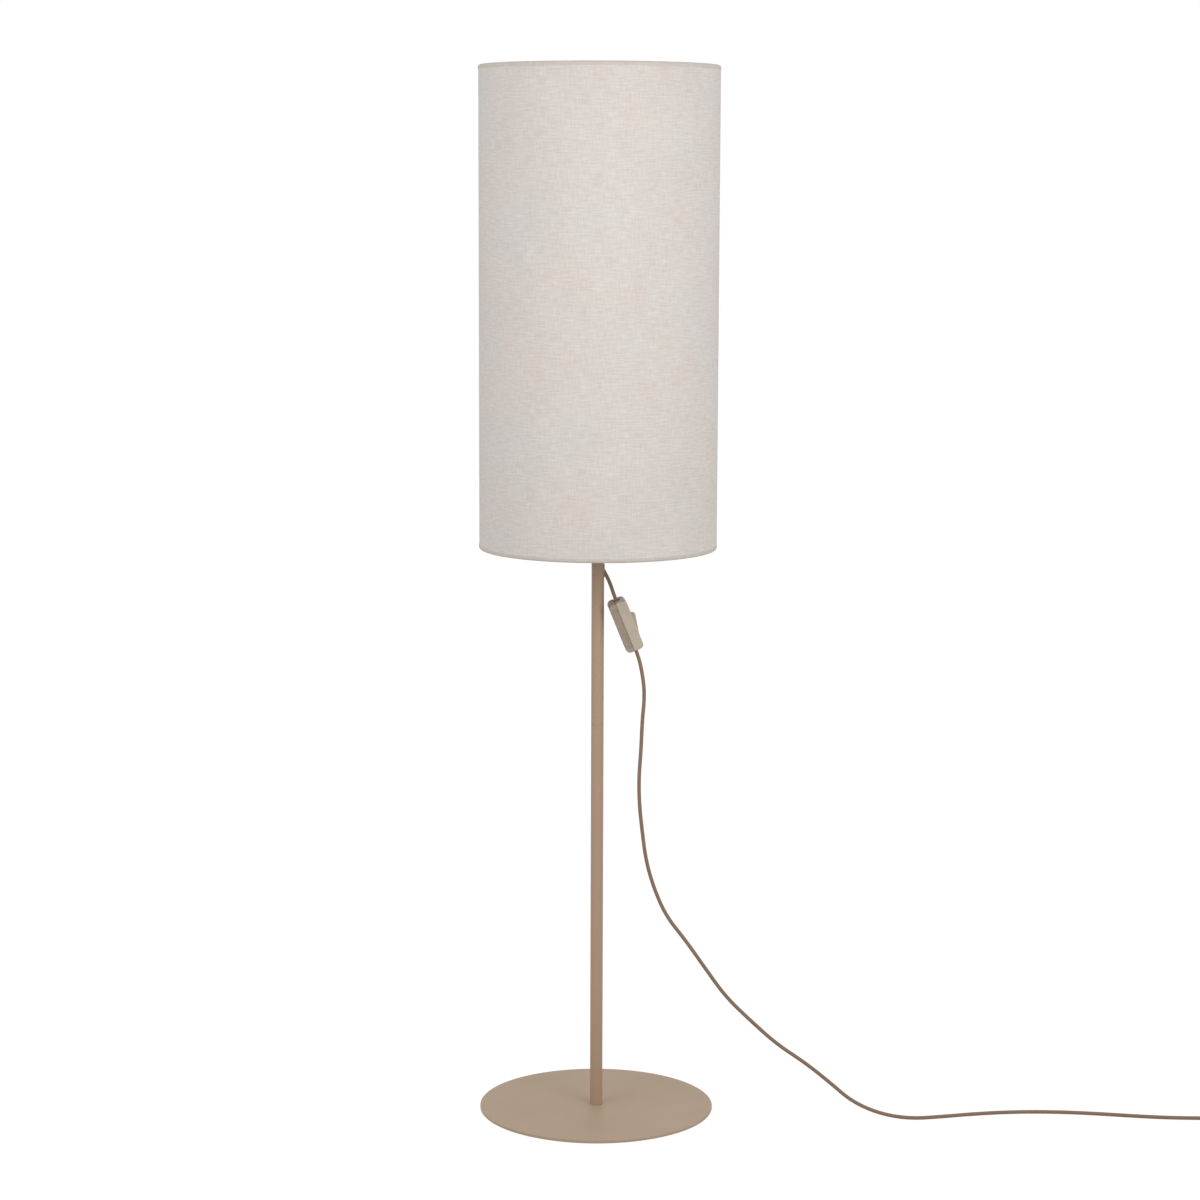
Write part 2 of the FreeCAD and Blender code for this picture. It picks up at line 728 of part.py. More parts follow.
def make_switch_shells():
    """Front shell with the rocker's well and screw bosses, and a ribbed back shell, with a shadow
    groove all round where they meet."""
    outer = switch_block(0, switch_corner)
    inner = switch_block(switch_wall, switch_inner_corner)
    window_length = 2 * (rocker_radius + rocker_gap)
    window_width = rocker_width + 2 * rocker_gap
    well_centre = Vector(front_x - well_depth / 2, 0, rocker_offset)
    well = box(well_depth, window_width + 2 * well_wall, window_length + 2 * well_wall, well_centre)
    bosses = [along_x(shell_boss_diameter, parting_x, front_x - switch_wall / 2, y, z)
              for y, z in shell_screw_places()]
    shell = outer.cut(inner)
    front = shell.common(half_space(parting_x + switch_groove / 2, front_x + 1))
    front = union([front] + [boss.common(outer) for boss in bosses] + [well.common(outer)])
    front = front.common(half_space(parting_x + switch_groove / 2, front_x + 1))
    window = box(2 * (well_depth + well_wall), window_width, window_length,
                 Vector(front_x, 0, rocker_offset))
    front = front.cut(window)
    pin_hole = rocker_pin_diameter + 2 * running_clearance
    pin_span = window_width + 2 * (rocker_pin_reach + running_clearance)
    pin_way = Part.makeCylinder(pin_hole / 2, pin_span, Vector(pivot_x, -pin_span / 2, rocker_offset),
                                Vector(0, 1, 0))
    front = front.cut(pin_way).cut(cord_holes())
    for y, z in shell_screw_places():
        front = front.cut(along_x(shell_screw_diameter + 2 * thread_clearance, parting_x - 1,
                                  front_x - 2 * switch_wall, y, z))
    seam = outer.cut(switch_block(switch_seam_depth, switch_corner))
    seam = seam.common(half_space(parting_x - switch_seam_width / 2, parting_x + switch_seam_width / 2))
    keep("switch_front_shell", in_switch(front.cut(seam)))

    back = shell.common(half_space(back_x - 1, parting_x))
    pillars = [along_x(shell_boss_diameter, back_x + switch_wall / 2, parting_x, y, z).common(outer)
               for y, z in shell_screw_places()]
    back = union([back] + pillars).cut(cord_holes())
    for y, z in shell_screw_places():
        back = back.cut(along_x(shell_screw_diameter + 2 * thread_clearance, back_x - 1, parting_x + 1,
                                y, z))
        back = back.cut(along_x(shell_screw_head_diameter + 4 * thread_clearance, back_x - 1,
                                back_x + shell_screw_head_height + 1, y, z))
    rib_count = int((switch_length - 2 * switch_end_corner) / switch_rib_pitch)
    for index in range(rib_count):
        z = (index - (rib_count - 1) / 2) * switch_rib_pitch
        for side in (-1, 1):
            groove = box(switch_back_depth - switch_corner - 1, 2 * switch_rib_depth, switch_rib_width,
                         Vector(parting_x - (switch_back_depth - switch_corner) / 2 - switch_seam_width / 2,
                                side * switch_width / 2, z))
            back = back.cut(groove)
    keep("switch_back_shell", in_switch(back.cut(seam)))

    screws = []
    for y, z in shell_screw_places():
        head_x = back_x + 1
        head = along_x(shell_screw_head_diameter, head_x, head_x + shell_screw_head_height, y, z)
        shank = along_x(shell_screw_diameter, head_x, front_x - 2.5 * switch_wall, y, z)
        slot = box(1.0, shell_screw_head_diameter + 1, 0.8, Vector(head_x, y, z))
        screws.append(in_switch(union([head, shank]).cut(slot)))
    keep("switch_shell_screws", *screws)


def make_rocker():
    """Flat-topped rocker on two stub pins, shown with its end towards the pole raised."""
    top = rocker_pivot_depth + rocker_rise
    drum = Part.makeCylinder(rocker_radius, rocker_width, Vector(0, -rocker_width / 2, 0), Vector(0, 1, 0))
    slab = box(top + rocker_belly, rocker_width, 2 * rocker_radius, Vector((top - rocker_belly) / 2, 0, 0))
    pins = Part.makeCylinder(rocker_pin_diameter / 2, rocker_width + 2 * rocker_pin_reach,
                             Vector(0, -rocker_width / 2 - rocker_pin_reach, 0), Vector(0, 1, 0))
    rocker = union([drum.common(slab), pins])
    tilted = placed(rocker, Vector(pivot_x, 0, rocker_offset), Rotation(Vector(0, 1, 0), rocker_throw / 2))
    keep("switch_rocker", in_switch(tilted))


def make_switch_inside():
    """Terminals and their screws, contact blades, cord clamps and the leads."""
    blocks = []
    block_screws = []
    block_x = pivot_x - terminal_drop
    for end in (-1, 1):
        centre = Vector(block_x, -terminal_side_offset, end * terminal_spacing / 2)
        block = box(terminal_depth, terminal_width, terminal_length, centre)
        screw_x = block_x - terminal_depth / 2
        hole = along_x(terminal_screw_diameter + 2 * thread_clearance, screw_x - 1,
                       screw_x + terminal_screw_length - 1, centre.y, centre.z)
        blocks.append(in_switch(block.cut(hole)))
        screw = along_x(terminal_screw_diameter, screw_x - 1, screw_x + terminal_screw_length - 1.5,
                        centre.y, centre.z)
        block_screws.append(in_switch(screw))
    keep("switch_terminals", *blocks)
    keep("switch_terminal_screws", *block_screws)

    blades = []
    blade_x = block_x + terminal_depth / 2
    for end in (-1, 1):
        reach = terminal_spacing / 2 - 1.5
        centre = Vector(blade_x + contact_blade_thickness / 2, -terminal_side_offset + 0.5,
                        end * (reach / 2 + 1.5))
        blades.append(in_switch(box(contact_blade_thickness, contact_blade_width, reach, centre)))
    keep("switch_contacts", *blades)

    bars = []
    bar_screws = []
    for end in (-1, 1):
        z = end * clamp_distance
        stand_off = cord_radius + clamp_thickness / 2 + press_clearance
        bar_x = cord_x + stand_off
        saddle_x = cord_x - stand_off
        bar = box(clamp_thickness, clamp_width, clamp_length, Vector(bar_x, 0, z))
        saddle = box(clamp_thickness, clamp_width, clamp_length, Vector(saddle_x, 0, z))
        screws = []
        for side in (-1, 1):
            y = side * clamp_screw_spacing / 2
            hole = along_x(clamp_screw_diameter + 2 * thread_clearance, back_x, front_x, y, z)
            bar = bar.cut(hole)
            saddle = saddle.cut(hole)
            screw = along_x(clamp_screw_diameter, saddle_x - clamp_thickness / 2,
                            bar_x + clamp_thickness / 2 + 0.8, y, z)
            screws.append(in_switch(screw))
        bars += [in_switch(bar), in_switch(saddle)]
        bar_screws += screws
    keep("switch_cord_clamps", *bars)
    keep("switch_clamp_screws", *bar_screws)

    lead_end = clamp_distance - clamp_length / 2 - 2
    terminal_end = (terminal_spacing + terminal_length) / 2
    beside = lead_diameter / 2 + 0.2
    through = rod(lead_diameter, -lead_end, lead_end)
    through.translate(Vector(cord_x, beside, 0))
    leads = [in_switch(through)]
    for end in (-1, 1):
        path = [Vector(cord_x, -beside, end * lead_end),
                Vector(cord_x, -beside, end * (lead_end - 2.5)),
                Vector(block_x, -terminal_side_offset, end * (terminal_end + 2.5)),
                Vector(block_x, -terminal_side_offset, end * terminal_end)]
        leads.append(in_switch(swept(rounded_path(path)[0], lead_diameter)[0]))
    keep("switch_leads", *leads)
    return lead_end


# ------------------------------------------------------------------ cord

def make_cords(lead_end):
    """The cord inside the pole, from the pole to the switch, and from the switch to the coil."""
    way = exit_direction()
    through_wall = Vector(pole_radius - pole_wall / 2, 0, exit_height)
    seam = through_wall - way * 3.8
    bend = through_wall - way * (through_wall.x / way.x)
    inner_points = [seam, bend, Vector(0, 0, pole_top + nipple_in_cap + 1)]
    inner_edges = rounded_path([seam, bend, bend + UP * seam.distanceToPoint(bend)])[0]
    last_arc_end = inner_edges[1].valueAt(inner_edges[1].LastParameter)
    inner_edges[2] = Part.LineSegment(last_arc_end, inner_points[2]).toShape()
    keep("inner_cord", swept(inner_edges, cord_diameter)[0])

    upper_points = [seam, seam + way * grommet_run,
                    switch_point(cord_x, 0, switch_length / 2 + upper_exit_run),
                    switch_point(cord_x, 0, lead_end)]
    keep("cord_upper", flex("cord_upper", upper_points, cord_diameter))

    floor_z = cord_radius + floor_clearance
    lower_points = [switch_point(cord_x, 0, -lead_end),
                    switch_point(cord_x, 0, -switch_length / 2 - lower_exit_run)]
    lower_points += [Vector(*point) for point in (
        (56.8, 0.5, 570.7),
        (60.1, -3.0, 543.0),
        (56.9, -6.5, 509.0),
        (55.7, -9.5, 473.9),
        (53.0, -12.0, 438.0),
        (53.7, -14.0, 404.0),
        (57.5, -16.0, 369.1),
        (62.5, -18.0, 331.1),
        (72.5, -21.0, 296.5),
        (88.5, -24.0, 260.0),
        (113.8, -28.0, 229.0),
        (138.8, -31.0, 193.6),
        (165.1, -34.0, 157.1),
        (196.8, -37.0, 126.9),
        (230.9, -40.0, 96.5),
        (266.7, -43.0, 73.4),
        (298.0, -45.5, 48.7),
        (327.7, -47.5, 23.0),
        (364.4, -50.5, 7.8),
        (403.0, -52.5, floor_z),
        (444.0, -43.5, floor_z),
        (490.0, -31.2, floor_z),
        (540.0, -23.2, floor_z),
        (591.0, -22.7, floor_z),
        (640.0, -28.7, floor_z),
        (688.0, -38.2, floor_z),
        (735.0, -46.6, floor_z + 0.4))]
    coil_edge = coil_point(0) - Vector(coil_entry_straight, 0, 0)
    lower_points += [coil_edge - Vector(coil_approach, 0, 0), coil_edge]
    keep("cord_lower", flex("cord_lower", lower_points, cord_diameter))


# The coil lies on its tie: two layers, wound inwards below and outwards above.
coil_centre = Vector(836.0, -16.0, 0)
coil_low_z = floor_clearance + tie_thickness + tie_clearance / 2 + cord_radius
coil_half_angle = math.pi * coil_turns


def coil_point(angle):
    """Point of the coil at an angle from its start, which lies towards the front."""
    offset = angle - coil_half_angle
    softened = math.sqrt(offset ** 2 + coil_reversal_softness ** 2) - coil_reversal_softness
    radius = coil_inner_radius + coil_pitch * softened / (2 * math.pi)
    climb = min(max(offset / math.pi + 0.5, 0), 1)
    height = coil_low_z + coil_pitch * (1 - math.cos(math.pi * climb)) / 2
    azimuth = angle - math.pi / 2
    return coil_centre + Vector(radius * math.cos(azimuth), radius * math.sin(azimuth), height)


def coil_tangent(angle):
    """Direction of the coil at an angle, from two points close by."""
    step = 1e-4
    tangent = coil_point(angle + step) - coil_point(angle - step)
    tangent.normalize()
    return tangent


def biarc(start, start_tangent, end, end_tangent):
    """Two tangent arcs between two points with given directions."""
    span = end - start
    sum_tangent = start_tangent + end_tangent
    spread = 1 - start_tangent.dot(end_tangent)
    lean = span.dot(sum_tangent)
    reach = (math.sqrt(lean ** 2 + 2 * spread * span.dot(span)) - lean) / (2 * spread)
    joint = (start + end + (start_tangent - end_tangent) * reach) / 2
    middle_tangent = joint - (start + start_tangent * reach)
    middle_tangent.normalize()
    return [arc_edge(start, start_tangent, joint), arc_edge(joint, middle_tangent, end)]


def plug_way():
    """The plug points away from the coil and dips until its front edge is on the floor."""
    dip = math.radians(plug_dip)
    return Vector(0, math.cos(dip), -math.sin(dip))


def make_coil():
    """The spare cord: one unbroken tube of piled turns, straight for one diameter at both ends."""
    quarters = round(coil_turns * 4)
    angles = [index * math.pi / 2 for index in range(quarters + 1)]
    entry = coil_point(0)
    entry_way = Vector(1, 0, 0)
    leave = coil_point(angles[-1])
    leave_way = plug_way()
    edges = [Part.LineSegment(entry - entry_way * coil_entry_straight, entry).toShape()]
    for low, high in zip(angles, angles[1:]):
        low_tangent = entry_way if low == 0 else coil_tangent(low)
        high_tangent = leave_way if high == angles[-1] else coil_tangent(high)
        edges += biarc(coil_point(low), low_tangent, coil_point(high), high_tangent)
    edges.append(Part.LineSegment(leave, leave + leave_way * coil_end_straight).toShape())
    solid, length = swept(edges, cord_diameter)
    expected = math.pi * cord_radius ** 2 * length
    print("cord_coil length %.1f" % length, "volume ratio %.4f" % (solid.Volume / expected),
          "least radius %.1f" % min(edge.Curve.Radius for edge in edges[1:-1]),
          "least gap %.2f" % coil_gap(edges))
    keep("cord_coil", solid)


def coil_gap(edges):
    """Least gap between turns, from points along the whole path."""
    steps = 12
    points = []
    travelled = 0.0
    for edge in edges:
        for index in range(steps):
            share = index / steps
            parameter = edge.FirstParameter + (edge.LastParameter - edge.FirstParameter) * share
            points.append((travelled + edge.Length * share, edge.valueAt(parameter)))
        travelled += edge.Length
    least = min(first[1].distanceToPoint(second[1]) for i, first in enumerate(points)
                for second in points[i + 1:] if second[0] - first[0] > 3 * coil_inner_radius)
    return least - cord_diameter


def make_tie():
    """Strap round the bundle of turns, closed on itself with a short tongue on top."""
    azimuth = math.radians(tie_azimuth)
    first = (tie_azimuth + 90) % 360 / 360
    radii = []
    turn = first
    while turn < coil_turns:
        spot = coil_point(turn * 2 * math.pi) - coil_centre
        radii.append(math.hypot(spot.x, spot.y))
        turn += 1
    inner = min(radii) - cord_radius - tie_clearance
    outer = max(radii) + cord_radius + tie_clearance
    low = coil_low_z - cord_radius - tie_clearance / 2
    high = coil_low_z + coil_pitch + cord_radius + tie_clearance / 2
    middle = Vector((inner + outer) / 2, 0, (low + high) / 2)
    hollow = box(outer - inner, tie_width + 2, high - low, middle)
    around = box(outer - inner + 2 * tie_thickness, tie_width, high - low + 2 * tie_thickness, middle)
    tongue = box((outer - inner) / 2, tie_width * 0.8, tie_thickness,
                 Vector(middle.x, 0, high + 1.5 * tie_thickness))
    tie = union([around.cut(hollow), tongue])
    keep("cord_tie", placed(tie, coil_centre, Rotation(UP, tie_azimuth)))


# ------------------------------------------------------------------ plug

def make_plug():
    """Flat two-pin plug at the coil's end: body, pins, pin sleeves and tapered relief."""
    # In the plug's own frame +Z is the way the pins point and +X runs across both pins.
    coil_end = coil_point(2 * coil_half_angle) + plug_way() * coil_end_straight
    rotation = Rotation(Vector(1, 0, 0), UP, plug_way(), "ZXY")
    body_start = relief_length - relief_socket
    body_end = body_start + plug_length
    waist = body_end - plug_front_length
    outline = [(-plug_rear_width / 2, body_start), (plug_rear_width / 2, body_start),
               (plug_width / 2, waist), (plug_width / 2, body_end),
               (-plug_width / 2, body_end), (-plug_width / 2, waist)]
    corners = [Vector(x, -plug_thickness / 2, z) for x, z in outline]
    body = Part.Face(Part.makePolygon(corners + corners[:1])).extrude(Vector(0, plug_thickness, 0))
    body = body.makeFillet(plug_corner, body.Edges)
    socket = relief_front_diameter + 2 * press_clearance
    body = body.cut(rod(socket, body_start - 1, relief_length + press_clearance))

    taper = cone(relief_rear_diameter, relief_front_diameter, 0, relief_length - relief_socket)
    root = rod(relief_front_diameter, relief_length - relief_socket, relief_length)
    relief = union([taper, root])
    for index in range(relief_ribs):
        z = (index + 1) * (relief_length - relief_socket) / (relief_ribs + 1)
        share = z / (relief_length - relief_socket)
        there = relief_rear_diameter + (relief_front_diameter - relief_rear_diameter) * share
        relief = relief.cut(pipe(there + 4, there - 2 * relief_rib_depth,
                                 z - relief_rib_width / 2, z + relief_rib_width / 2))

    pins = []
    sleeves = []
    tip = body_end + plug_pin_length
    for side in (-1, 1):
        place = Vector(side * plug_pin_spacing / 2, 0, 0)
        core_diameter = plug_pin_diameter - 2 * plug_sleeve_wall - 2 * press_clearance
        core = rod(core_diameter, body_end - plug_pin_root, body_end + plug_sleeve_length)
        bare = rod(plug_pin_diameter, body_end + plug_sleeve_length, tip)
        rim = [edge for edge in bare.Edges if edge.Closed and edge.BoundBox.ZMin > tip - 0.1]
        bare = bare.makeFillet(plug_pin_diameter / 4, rim)
        pin = union([core, bare])
        sleeve = pipe(plug_pin_diameter - 2 * plug_sleeve_inset, core_diameter + 2 * press_clearance,
                      body_end, body_end + plug_sleeve_length - press_clearance)
        hole = rod(core_diameter + 2 * press_clearance, body_end - plug_pin_root, body_end + 1)
        hole.translate(place)
        body = body.cut(hole)
        pin.translate(place)
        sleeve.translate(place)
        pins.append(placed(pin, coil_end, rotation))
        sleeves.append(placed(sleeve, coil_end, rotation))
    keep("plug_body", placed(body, coil_end, rotation))
    keep("plug_strain_relief", placed(relief, coil_end, rotation))
    keep("plug_pins", *pins)
    keep("plug_pin_sleeves", *sleeves)


make_base()
make_pole()
make_grommet()
make_lampholder()
make_shade_ring()
make_bulb()
make_shade()
make_switch_shells()
make_rocker()
make_cords(make_switch_inside())
make_coil()
make_tie()
make_plug()

os.makedirs("parts", exist_ok=True)
for node, solids in pieces.items():
    shape = solids[0] if len(solids) == 1 else Part.makeCompound(solids)
    if not shape.isValid():
        print("not valid:", node)
    shape.exportStep("parts/" + node + ".step")
print(len(pieces), "nodes")
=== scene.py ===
import math

import bpy
import bmesh
import numpy as np
from mathutils import Matrix, Vector


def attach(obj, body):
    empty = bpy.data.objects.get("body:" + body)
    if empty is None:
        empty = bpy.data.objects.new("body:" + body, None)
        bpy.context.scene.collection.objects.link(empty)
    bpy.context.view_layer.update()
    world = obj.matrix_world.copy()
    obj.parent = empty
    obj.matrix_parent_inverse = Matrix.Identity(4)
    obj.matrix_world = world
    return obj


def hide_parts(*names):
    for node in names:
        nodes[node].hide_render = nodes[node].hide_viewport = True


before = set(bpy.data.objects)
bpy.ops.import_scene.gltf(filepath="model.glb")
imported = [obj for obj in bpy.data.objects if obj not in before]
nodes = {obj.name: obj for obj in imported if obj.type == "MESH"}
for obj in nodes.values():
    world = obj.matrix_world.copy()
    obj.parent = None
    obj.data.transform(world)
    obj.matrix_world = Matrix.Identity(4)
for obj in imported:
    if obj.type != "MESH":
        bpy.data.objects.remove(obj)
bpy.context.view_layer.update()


# ---------------------------------------------------------------- camera
# The viewer stands 3.7 m in front of the lamp and 1.2 m above the floor, and looks slightly down
# at it through a long lens.

viewer_place = (0.0028, -3.68527, 1.19452)
look_down = 0.14302
lean = 0.00348

camera_data = bpy.data.cameras.new("viewer")
camera_data.sensor_width = 36.0
camera_data.lens = 88.309
camera = bpy.data.objects.new("viewer", camera_data)
bpy.context.scene.collection.objects.link(camera)
camera.matrix_world = (Matrix.Translation(viewer_place)
                       @ Matrix.Rotation(math.pi / 2 - look_down, 4, "X")
                       @ Matrix.Rotation(lean, 4, "Z"))
bpy.context.scene.camera = camera


# ---------------------------------------------------------------- cord
# Round two-core flexible cord, 4.8 mm thick, with a satin beige sheath.  One stretch comes out of
# the pole into the switch, the other runs on to the floor, and its spare length is wound and tied.

def shade_of(red, green, blue):
    """A colour as seen on a screen, 0 to 255, turned into the linear value a shader takes."""
    screen = np.array((red, green, blue)) / 255
    linear = np.where(screen < 0.04045, screen / 12.92, ((screen + 0.055) / 1.055) ** 2.4)
    return (*linear, 1.0)


def new_finish(name, roughness, metal=0.0):
    """A material with one shader, ready for its colour and relief; returns it with its node tree."""
    finish = bpy.data.materials.new(name)
    finish.use_nodes = True
    shader = finish.node_tree.nodes["Principled BSDF"]
    shader.inputs["Roughness"].default_value = roughness
    shader.inputs["Metallic"].default_value = metal
    return finish, finish.node_tree, shader


def space(tree, stretch=(1, 1, 1), unrolled=False):
    """Where a pattern is read: the object's own metres, or the unrolled cloth's, times a stretch."""
    source = tree.nodes.new("ShaderNodeTexCoord")
    mapping = tree.nodes.new("ShaderNodeMapping")
    mapping.inputs["Scale"].default_value = stretch
    tree.links.new(source.outputs["UV" if unrolled else "Object"], mapping.inputs["Vector"])
    return mapping.outputs["Vector"]


def mottle(tree, vector, per_metre, detail):
    """Cloudy noise with the given number of blotches to the metre."""
    noise = tree.nodes.new("ShaderNodeTexNoise")
    noise.inputs["Scale"].default_value = per_metre
    noise.inputs["Detail"].default_value = detail
    tree.links.new(vector, noise.inputs["Vector"])
    return noise.outputs["Fac"]


def arithmetic(tree, operation, first, second):
    """One arithmetic step on two values, each a socket or a number."""
    step = tree.nodes.new("ShaderNodeMath")
    step.operation = operation
    for index, value in enumerate((first, second)):
        if isinstance(value, (int, float)):
            step.inputs[index].default_value = value
        else:
            tree.links.new(value, step.inputs[index])
    return step.outputs[0]


def blend(tree, *parts):
    """The sum of several values, each times its own weight."""
    total = None
    for value, weight in parts:
        weighed = arithmetic(tree, "MULTIPLY", value, weight)
        total = weighed if total is None else arithmetic(tree, "ADD", total, weighed)
    return total


def between(tree, share, low, high, low_shade, high_shade):
    """Colour that goes from one screen shade to another as the share goes from low to high."""
    ramp = tree.nodes.new("ShaderNodeValToRGB")
    for stop, position, shade in zip(ramp.color_ramp.elements, (low, high), (low_shade, high_shade)):
        stop.position = position
        stop.color = shade_of(*shade)
    tree.links.new(share, ramp.inputs["Fac"])
    return ramp.outputs["Color"]


def spread(tree, share, low, high):
    """A value from low to high, following a share from 0 to 1."""
    step = tree.nodes.new("ShaderNodeMapRange")
    step.inputs["To Min"].default_value = low
    step.inputs["To Max"].default_value = high
    tree.links.new(share, step.inputs["Value"])
    return step.outputs["Result"]


def raise_relief(tree, shader, height, depth, strength=1.0):
    """Relief of a depth in metres on the shader."""
    bump = tree.nodes.new("ShaderNodeBump")
    bump.inputs["Distance"].default_value = depth
    bump.inputs["Strength"].default_value = strength
    tree.links.new(height, bump.inputs["Height"])
    tree.links.new(bump.outputs["Normal"], shader.inputs["Normal"])


def moulded_finish(name, light, dark, roughness, grain_per_metre=1800.0, grain_depth=0.00003):
    """Moulded plastic or rubber: cloudy colour, fine surface grain, roughness that varies a little."""
    finish, tree, shader = new_finish(name, roughness)
    place = space(tree)
    cloud = mottle(tree, place, per_metre=60.0, detail=4.0)
    grain = mottle(tree, place, grain_per_metre, detail=2.0)
    varied = spread(tree, grain, roughness - 0.08, roughness + 0.08)
    tree.links.new(between(tree, cloud, 0.3, 0.7, dark, light), shader.inputs["Base Color"])
    tree.links.new(varied, shader.inputs["Roughness"])
    raise_relief(tree, shader, grain, grain_depth)
    return finish


def dress(finish, *names):
    """Gives CAD nodes their finish."""
    for name in names:
        node = nodes[name]
        if not node.material_slots:
            node.data.materials.append(finish)
        for spot in node.material_slots:
            spot.material = finish


sheath = moulded_finish("cord_sheath", (143, 117, 94), (135, 109, 86), 0.5, grain_per_metre=900.0)
cord_diameter = 0.0048

# The coil: two layers, wound inwards below and outwards above, on its tie.
coil_centre = np.array((0.836, -0.016))
coil_turns = 5.25
coil_pitch = 0.0053
coil_inner_radius = 0.0205
coil_reversal = 0.5
coil_low = 0.0036
coil_end_straight = 0.0096
points_per_turn = 24


def coil_points():
    """Points of the spare cord's turns: the radius shrinks by one pitch a turn to the middle and
    grows again, and the height climbs one pitch along a cosine in the half turn between."""
    angle = np.arange(round(coil_turns * points_per_turn) + 1) * 2 * math.pi / points_per_turn
    offset = angle - math.pi * coil_turns
    softened = np.sqrt(offset ** 2 + coil_reversal ** 2) - coil_reversal
    radius = coil_inner_radius + coil_pitch * softened / (2 * math.pi)
    climb = np.clip(offset / math.pi + 0.5, 0, 1)
    height = coil_low + coil_pitch * (1 - np.cos(math.pi * climb)) / 2
    azimuth = angle - math.pi / 2
    return np.stack((coil_centre[0] + radius * np.cos(azimuth),
                     coil_centre[1] + radius * np.sin(azimuth), height), axis=1)


def lay_cord(name, route):
    """A smooth spline with the route's points as its control points, as thick as the cord."""
    curve = bpy.data.curves.new(name, "CURVE")
    curve.dimensions = "3D"
    curve.resolution_u = 8
    curve.bevel_depth = cord_diameter / 2
    curve.bevel_resolution = 5
    curve.use_fill_caps = True
    line = curve.splines.new("NURBS")
    line.points.add(len(route) - 1)
    line.points.foreach_set("co", np.column_stack((route, np.ones(len(route)))).ravel())
    line.order_u = 3
    line.use_endpoint_u = True
    curve.materials.append(sheath)
    cord = bpy.data.objects.new(name, curve)
    bpy.context.scene.collection.objects.link(cord)
    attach(cord, "lamp")
    return cord


route_to_switch = np.array((
    (5.5, 0.0, 704.79),
    (14.0, 0.0, 690.07),
    (21.23, -6.36, 668.62),
    (26.63, -4.31, 655.05))) / 1000

route_to_floor = np.array((
    (44.2, 2.37, 610.89),
    (51.25, 5.05, 593.18),
    (56.8, 0.5, 570.7),
    (60.1, -3.0, 543.0),
    (56.9, -6.5, 509.0),
    (55.7, -9.5, 473.9),
    (53.0, -12.0, 438.0),
    (53.7, -14.0, 404.0),
    (57.5, -16.0, 369.1),
    (62.5, -18.0, 331.1),
    (72.5, -21.0, 296.5),
    (88.5, -24.0, 260.0),
    (113.8, -28.0, 229.0),
    (138.8, -31.0, 193.6),
    (165.1, -34.0, 157.1),
    (196.8, -37.0, 126.9),
    (230.9, -40.0, 96.5),
    (266.7, -43.0, 73.4),
    (298.0, -45.5, 48.7),
    (327.7, -47.5, 23.0),
    (364.4, -50.5, 7.8),
    (403.0, -52.5, 2.5),
    (444.0, -43.5, 2.5),
    (490.0, -31.2, 2.5),
    (540.0, -23.2, 2.5),
    (591.0, -22.7, 2.5),
    (640.0, -28.7, 2.5),
    (688.0, -38.2, 2.5),
    (735.0, -46.6, 2.9),
    (783.2, -50.0, 3.6),
    (831.2, -50.0, 3.6))) / 1000

plug_dip = math.radians(1.6)
plug_way = np.array((0.0, math.cos(plug_dip), -math.sin(plug_dip)))
turns = coil_points()
straight_end = turns[-1] + plug_way * coil_end_straight

cord_to_switch = lay_cord("cord_to_switch", route_to_switch)
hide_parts("cord_upper")
cord_to_floor = lay_cord("cord_to_floor", np.vstack((route_to_floor, turns, straight_end)))
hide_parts("cord_lower", "cord_coil")


# The tie: a soft strap round the bundle of turns, with an even loop 0.8 mm thick.

def grid_piece(name, grid, unrolled=None):
    """A surface from a grid of points that closes on itself both ways: each cell of the grid is one
    face.  unrolled gives the cloth's flat metres at each corner line."""
    count, rows = grid.shape[:2]
    i, j = (a.ravel() for a in np.meshgrid(np.arange(count), np.arange(rows), indexing="ij"))
    i_next, j_next = (i + 1) % count, (j + 1) % rows
    faces = np.stack((i * rows + j, i_next * rows + j, i_next * rows + j_next, i * rows + j_next),
                     axis=1)
    mesh = bpy.data.meshes.new(name)
    mesh.from_pydata(grid.reshape(-1, 3).tolist(), [], faces.tolist())
    if unrolled is not None:
        along, up = unrolled
        corners = np.stack((np.stack((along[i], along[i + 1], along[i + 1], along[i]), axis=1),
                            np.stack((up[j], up[j], up[j + 1], up[j + 1]), axis=1)), axis=2)
        mesh.uv_layers.new(name="unrolled").data.foreach_set("uv", corners.ravel())
    work = bmesh.new()
    work.from_mesh(mesh)
    bmesh.ops.remove_doubles(work, verts=work.verts, dist=1e-7)
    bmesh.ops.recalc_face_normals(work, faces=work.faces)
    work.to_mesh(mesh)
    work.free()
    mesh.polygons.foreach_set("use_smooth", [True] * len(mesh.polygons))
    mesh.set_sharp_from_angle(angle=math.radians(40))
    piece = bpy.data.objects.new(name, mesh)
    bpy.context.scene.collection.objects.link(piece)
    return piece


def strap(name, centre_radius, low, high, half_reach, azimuth, width, thickness):
    """Band whose loop is a rounded rectangle: a superellipse in the plane through the coil's axis,
    carried across the band's width, with an inner and an outer skin."""
    angle = np.linspace(0, 2 * math.pi, 64, endpoint=False)
    squareness = 3.2
    across = np.sign(np.cos(angle)) * np.abs(np.cos(angle)) ** (2 / squareness)
    upward = np.sign(np.sin(angle)) * np.abs(np.sin(angle)) ** (2 / squareness)
    skins = np.array((thickness, thickness, 0.0, 0.0))
    sides = np.array((-width / 2, width / 2, width / 2, -width / 2))
    out = centre_radius + np.outer(across, half_reach + skins)
    up = (low + high) / 2 + np.outer(upward, (high - low) / 2 + skins)
    aside = np.broadcast_to(sides, out.shape)
    turn = math.radians(azimuth)
    x = coil_centre[0] + out * math.cos(turn) - aside * math.sin(turn)
    y = coil_centre[1] + out * math.sin(turn) + aside * math.cos(turn)
    return grid_piece(name, np.stack((x, y, up), axis=2))


